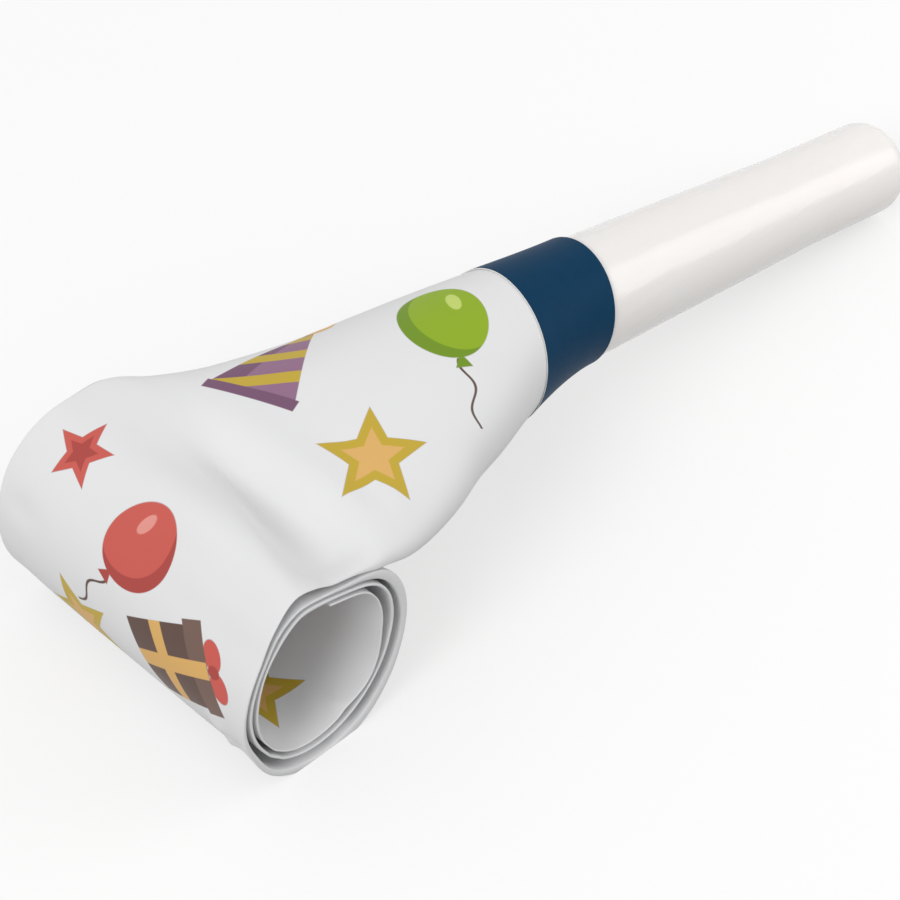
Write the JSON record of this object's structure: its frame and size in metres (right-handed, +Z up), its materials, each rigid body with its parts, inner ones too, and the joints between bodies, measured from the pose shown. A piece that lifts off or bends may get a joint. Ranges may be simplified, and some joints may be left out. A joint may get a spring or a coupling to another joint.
{
  "type": "party horn blower",
  "caption": "Party blowout: a tapered plastic mouthpiece with a reed and a printed flat paper tube that a hidden wire keeps wound in a roll and that unrolls when it is blown.",
  "frame": {"origin": "on the table that the horn lies on, below the middle of its length and width", "axes": "+X along the length towards the mouth, +Y across the paper along the roll's axis, +Z up from the table"},
  "size_m": [0.115, 0.036, 0.0258],
  "materials": {
    "tube_plastic": "pearly white, slightly translucent",
    "reed_plastic": "moulded, unpainted",
    "tongue_film": "clear film",
    "printed_paper": "smooth white, printed in colour",
    "navy_paper": "printed navy, satin",
    "spring_wire": "drawn"
  },
  "bodies": {
    "horn": {"mouthpiece": "tube_plastic", "reed_plug": "reed_plastic", "reed_wedge": "reed_plastic", "paper_neck": "printed_paper", "collar_band": "navy_paper", "recoil_wire": "spring_wire"},
    "tongue": {"reed_tongue": "tongue_film"},
    "panel_01": {"roll_panel_01": "printed_paper"},
    "panel_02": {"roll_panel_02": "printed_paper"},
    "panel_03": {"roll_panel_03": "printed_paper"},
    "panel_04": {"roll_panel_04": "printed_paper"},
    "panel_05": {"roll_panel_05": "printed_paper"},
    "panel_06": {"roll_panel_06": "printed_paper"},
    "panel_07": {"roll_panel_07": "printed_paper"},
    "panel_08": {"roll_panel_08": "printed_paper"},
    "panel_09": {"roll_panel_09": "printed_paper"},
    "panel_10": {"roll_panel_10": "printed_paper"},
    "panel_11": {"roll_panel_11": "printed_paper"},
    "panel_12": {"roll_panel_12": "printed_paper"},
    "panel_13": {"roll_panel_13": "printed_paper"},
    "panel_14": {"roll_panel_14": "printed_paper"},
    "panel_15": {"roll_panel_15": "printed_paper"},
    "panel_16": {"roll_panel_16": "printed_paper"},
    "panel_17": {"roll_panel_17": "printed_paper"},
    "panel_18": {"roll_panel_18": "printed_paper"},
    "panel_19": {"roll_panel_19": "printed_paper"},
    "panel_20": {"roll_panel_20": "printed_paper"},
    "panel_21": {"roll_panel_21": "printed_paper"},
    "panel_22": {"roll_panel_22": "printed_paper"},
    "panel_23": {"roll_panel_23": "printed_paper"},
    "panel_24": {"roll_panel_24": "printed_paper"},
    "panel_25": {"roll_panel_25": "printed_paper"},
    "panel_26": {"roll_panel_26": "printed_paper"},
    "panel_27": {"roll_panel_27": "printed_paper"},
    "panel_28": {"roll_panel_28": "printed_paper"},
    "panel_29": {"roll_panel_29": "printed_paper"},
    "panel_30": {"roll_panel_30": "printed_paper"},
    "panel_31": {"roll_panel_31": "printed_paper"},
    "panel_32": {"roll_panel_32": "printed_paper"},
    "panel_33": {"roll_panel_33": "printed_paper"},
    "panel_34": {"roll_panel_34": "printed_paper"},
    "panel_35": {"roll_panel_35": "printed_paper"},
    "panel_36": {"roll_panel_36": "printed_paper"}
  },
  "joints": [
    {"name": "unroll", "type": "hinge", "parent": "horn", "child": "panel_01", "pos_m": [-0.04439, 0, 0.02168], "axis": [0, 1, 0], "range_deg": [0, 15], "stiffness_Nm_per_rad": 0.004, "deforming": ["recoil_wire"]},
    {"name": "unroll_02", "type": "hinge", "parent": "panel_01", "child": "panel_02", "pos_m": [-0.05004, 0, 0.0212], "axis": [0, 1, 0], "range_deg": [0, 30], "stiffness_Nm_per_rad": 0.004},
    {"name": "unroll_03", "type": "hinge", "parent": "panel_02", "child": "panel_03", "pos_m": [-0.05469, 0, 0.01795], "axis": [0, 1, 0], "range_deg": [0, 30], "stiffness_Nm_per_rad": 0.004},
    {"name": "unroll_04", "type": "hinge", "parent": "panel_03", "child": "panel_04", "pos_m": [-0.05709, 0, 0.01282], "axis": [0, 1, 0], "range_deg": [0, 30], "stiffness_Nm_per_rad": 0.004},
    {"name": "unroll_05", "type": "hinge", "parent": "panel_04", "child": "panel_05", "pos_m": [-0.05662, 0, 0.0073], "axis": [0, 1, 0], "range_deg": [0, 30], "stiffness_Nm_per_rad": 0.004},
    {"name": "unroll_06", "type": "hinge", "parent": "panel_05", "child": "panel_06", "pos_m": [-0.05345, 0, 0.00276], "axis": [0, 1, 0], "range_deg": [0, 30], "stiffness_Nm_per_rad": 0.004},
    {"name": "unroll_07", "type": "hinge", "parent": "panel_06", "child": "panel_07", "pos_m": [-0.04843, 0, 0.00041], "axis": [0, 1, 0], "range_deg": [0, 30], "stiffness_Nm_per_rad": 0.004},
    {"name": "unroll_08", "type": "hinge", "parent": "panel_07", "child": "panel_08", "pos_m": [-0.04304, 0, 0.00088], "axis": [0, 1, 0], "range_deg": [0, 30], "stiffness_Nm_per_rad": 0.004},
    {"name": "unroll_09", "type": "hinge", "parent": "panel_08", "child": "panel_09", "pos_m": [-0.03861, 0, 0.00397], "axis": [0, 1, 0], "range_deg": [0, 30], "stiffness_Nm_per_rad": 0.004},
    {"name": "unroll_10", "type": "hinge", "parent": "panel_09", "child": "panel_10", "pos_m": [-0.03631, 0, 0.00887], "axis": [0, 1, 0], "range_deg": [0, 30], "stiffness_Nm_per_rad": 0.004},
    {"name": "unroll_11", "type": "hinge", "parent": "panel_10", "child": "panel_11", "pos_m": [-0.03676, 0, 0.01413], "axis": [0, 1, 0], "range_deg": [0, 30], "stiffness_Nm_per_rad": 0.004},
    {"name": "unroll_12", "type": "hinge", "parent": "panel_11", "child": "panel_12", "pos_m": [-0.03979, 0, 0.01846], "axis": [0, 1, 0], "range_deg": [0, 30], "stiffness_Nm_per_rad": 0.004},
    {"name": "unroll_13", "type": "hinge", "parent": "panel_12", "child": "panel_13", "pos_m": [-0.04457, 0, 0.0207], "axis": [0, 1, 0], "range_deg": [0, 30], "stiffness_Nm_per_rad": 0.004},
    {"name": "unroll_14", "type": "hinge", "parent": "panel_13", "child": "panel_14", "pos_m": [-0.0497, 0, 0.02026], "axis": [0, 1, 0], "range_deg": [0, 30], "stiffness_Nm_per_rad": 0.004},
    {"name": "unroll_15", "type": "hinge", "parent": "panel_14", "child": "panel_15", "pos_m": [-0.05392, 0, 0.01731], "axis": [0, 1, 0], "range_deg": [0, 30], "stiffness_Nm_per_rad": 0.004},
    {"name": "unroll_16", "type": "hinge", "parent": "panel_15", "child": "panel_16", "pos_m": [-0.05611, 0, 0.01264], "axis": [0, 1, 0], "range_deg": [0, 30], "stiffness_Nm_per_rad": 0.004},
    {"name": "unroll_17", "type": "hinge", "parent": "panel_16", "child": "panel_17", "pos_m": [-0.05568, 0, 0.00764], "axis": [0, 1, 0], "range_deg": [0, 30], "stiffness_Nm_per_rad": 0.004},
    {"name": "unroll_18", "type": "hinge", "parent": "panel_17", "child": "panel_18", "pos_m": [-0.0528, 0, 0.00352], "axis": [0, 1, 0], "range_deg": [0, 30], "stiffness_Nm_per_rad": 0.004},
    {"name": "unroll_19", "type": "hinge", "parent": "panel_18", "child": "panel_19", "pos_m": [-0.04825, 0, 0.0014], "axis": [0, 1, 0], "range_deg": [0, 30], "stiffness_Nm_per_rad": 0.004},
    {"name": "unroll_20", "type": "hinge", "parent": "panel_19", "child": "panel_20", "pos_m": [-0.04338, 0, 0.00181], "axis": [0, 1, 0], "range_deg": [0, 30], "stiffness_Nm_per_rad": 0.004},
    {"name": "unroll_21", "type": "hinge", "parent": "panel_20", "child": "panel_21", "pos_m": [-0.03937, 0, 0.00462], "axis": [0, 1, 0], "range_deg": [0, 30], "stiffness_Nm_per_rad": 0.004},
    {"name": "unroll_22", "type": "hinge", "parent": "panel_21", "child": "panel_22", "pos_m": [-0.0373, 0, 0.00904], "axis": [0, 1, 0], "range_deg": [0, 30], "stiffness_Nm_per_rad": 0.004},
    {"name": "unroll_23", "type": "hinge", "parent": "panel_22", "child": "panel_23", "pos_m": [-0.0377, 0, 0.01379], "axis": [0, 1, 0], "range_deg": [0, 30], "stiffness_Nm_per_rad": 0.004},
    {"name": "unroll_24", "type": "hinge", "parent": "panel_23", "child": "panel_24", "pos_m": [-0.04043, 0, 0.01769], "axis": [0, 1, 0], "range_deg": [0, 30], "stiffness_Nm_per_rad": 0.004},
    {"name": "unroll_25", "type": "hinge", "parent": "panel_24", "child": "panel_25", "pos_m": [-0.04474, 0, 0.01971], "axis": [0, 1, 0], "range_deg": [0, 30], "stiffness_Nm_per_rad": 0.004},
    {"name": "unroll_26", "type": "hinge", "parent": "panel_25", "child": "panel_26", "pos_m": [-0.04936, 0, 0.01932], "axis": [0, 1, 0], "range_deg": [0, 30], "stiffness_Nm_per_rad": 0.004},
    {"name": "unroll_27", "type": "hinge", "parent": "panel_26", "child": "panel_27", "pos_m": [-0.05316, 0, 0.01666], "axis": [0, 1, 0], "range_deg": [0, 30], "stiffness_Nm_per_rad": 0.004},
    {"name": "unroll_28", "type": "hinge", "parent": "panel_27", "child": "panel_28", "pos_m": [-0.05512, 0, 0.01247], "axis": [0, 1, 0], "range_deg": [0, 30], "stiffness_Nm_per_rad": 0.004},
    {"name": "unroll_29", "type": "hinge", "parent": "panel_28", "child": "panel_29", "pos_m": [-0.05474, 0, 0.00798], "axis": [0, 1, 0], "range_deg": [0, 30], "stiffness_Nm_per_rad": 0.004},
    {"name": "unroll_30", "type": "hinge", "parent": "panel_29", "child": "panel_30", "pos_m": [-0.05216, 0, 0.00429], "axis": [0, 1, 0], "range_deg": [0, 30], "stiffness_Nm_per_rad": 0.004},
    {"name": "unroll_31", "type": "hinge", "parent": "panel_30", "child": "panel_31", "pos_m": [-0.04808, 0, 0.00238], "axis": [0, 1, 0], "range_deg": [0, 30], "stiffness_Nm_per_rad": 0.004},
    {"name": "unroll_32", "type": "hinge", "parent": "panel_31", "child": "panel_32", "pos_m": [-0.04372, 0, 0.00276], "axis": [0, 1, 0], "range_deg": [0, 30], "stiffness_Nm_per_rad": 0.004},
    {"name": "unroll_33", "type": "hinge", "parent": "panel_32", "child": "panel_33", "pos_m": [-0.04013, 0, 0.00526], "axis": [0, 1, 0], "range_deg": [0, 30], "stiffness_Nm_per_rad": 0.004},
    {"name": "unroll_34", "type": "hinge", "parent": "panel_33", "child": "panel_34", "pos_m": [-0.03828, 0, 0.00922], "axis": [0, 1, 0], "range_deg": [0, 30], "stiffness_Nm_per_rad": 0.004},
    {"name": "unroll_35", "type": "hinge", "parent": "panel_34", "child": "panel_35", "pos_m": [-0.03864, 0, 0.01345], "axis": [0, 1, 0], "range_deg": [0, 30], "stiffness_Nm_per_rad": 0.004},
    {"name": "unroll_36", "type": "hinge", "parent": "panel_35", "child": "panel_36", "pos_m": [-0.04107, 0, 0.01693], "axis": [0, 1, 0], "range_deg": [0, 30], "stiffness_Nm_per_rad": 0.004},
    {"name": "reed_buzz", "type": "hinge", "parent": "horn", "child": "tongue", "pos_m": [0.00031, 0, 0.01604], "axis": [0, 1, 0], "range_deg": [-2.5, 2.5], "stiffness_Nm_per_rad": 0.002}
  ],
  "couplings": [
    {"joint": "unroll_02", "follows": "unroll", "ratio": 2},
    {"joint": "unroll_03", "follows": "unroll", "ratio": 2},
    {"joint": "unroll_04", "follows": "unroll", "ratio": 2},
    {"joint": "unroll_05", "follows": "unroll", "ratio": 2},
    {"joint": "unroll_06", "follows": "unroll", "ratio": 2},
    {"joint": "unroll_07", "follows": "unroll", "ratio": 2},
    {"joint": "unroll_08", "follows": "unroll", "ratio": 2},
    {"joint": "unroll_09", "follows": "unroll", "ratio": 2},
    {"joint": "unroll_10", "follows": "unroll", "ratio": 2},
    {"joint": "unroll_11", "follows": "unroll", "ratio": 2},
    {"joint": "unroll_12", "follows": "unroll", "ratio": 2},
    {"joint": "unroll_13", "follows": "unroll", "ratio": 2},
    {"joint": "unroll_14", "follows": "unroll", "ratio": 2},
    {"joint": "unroll_15", "follows": "unroll", "ratio": 2},
    {"joint": "unroll_16", "follows": "unroll", "ratio": 2},
    {"joint": "unroll_17", "follows": "unroll", "ratio": 2},
    {"joint": "unroll_18", "follows": "unroll", "ratio": 2},
    {"joint": "unroll_19", "follows": "unroll", "ratio": 2},
    {"joint": "unroll_20", "follows": "unroll", "ratio": 2},
    {"joint": "unroll_21", "follows": "unroll", "ratio": 2},
    {"joint": "unroll_22", "follows": "unroll", "ratio": 2},
    {"joint": "unroll_23", "follows": "unroll", "ratio": 2},
    {"joint": "unroll_24", "follows": "unroll", "ratio": 2},
    {"joint": "unroll_25", "follows": "unroll", "ratio": 2},
    {"joint": "unroll_26", "follows": "unroll", "ratio": 2},
    {"joint": "unroll_27", "follows": "unroll", "ratio": 2},
    {"joint": "unroll_28", "follows": "unroll", "ratio": 2},
    {"joint": "unroll_29", "follows": "unroll", "ratio": 2},
    {"joint": "unroll_30", "follows": "unroll", "ratio": 2},
    {"joint": "unroll_31", "follows": "unroll", "ratio": 2},
    {"joint": "unroll_32", "follows": "unroll", "ratio": 2},
    {"joint": "unroll_33", "follows": "unroll", "ratio": 2},
    {"joint": "unroll_34", "follows": "unroll", "ratio": 2},
    {"joint": "unroll_35", "follows": "unroll", "ratio": 2},
    {"joint": "unroll_36", "follows": "unroll", "ratio": 2}
  ]
}
